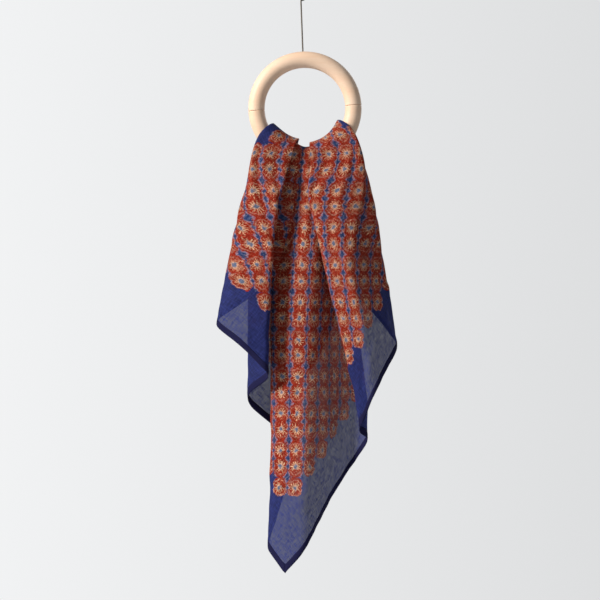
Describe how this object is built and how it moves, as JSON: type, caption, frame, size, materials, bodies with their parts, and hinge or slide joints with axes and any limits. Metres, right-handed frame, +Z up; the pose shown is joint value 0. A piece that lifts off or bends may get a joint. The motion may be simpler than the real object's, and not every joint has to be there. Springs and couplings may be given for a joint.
{
  "type": "square scarf on a wooden ring",
  "caption": "Square scarf of thin printed cloth, drawn by its diagonal over a turned wooden ring that hangs from a stiff wire.",
  "frame": {"origin": "the point inside the top of the wire's eye where a hook bears", "axes": "+Z up, +X to the right of someone who faces the scarf's longer side, +Y away from them"},
  "size_m": [0.1893, 0.0879, 0.6182],
  "materials": {
    "cloth": "thin plain weave, matt, slightly sheer",
    "maple": "sanded, unlacquered",
    "wire": "dull"
  },
  "bodies": {
    "root": {"scarf": "cloth", "ring_upper_half": "maple", "ring_lower_half": "maple", "hanging_wire": "wire"}
  },
  "joints": []
}
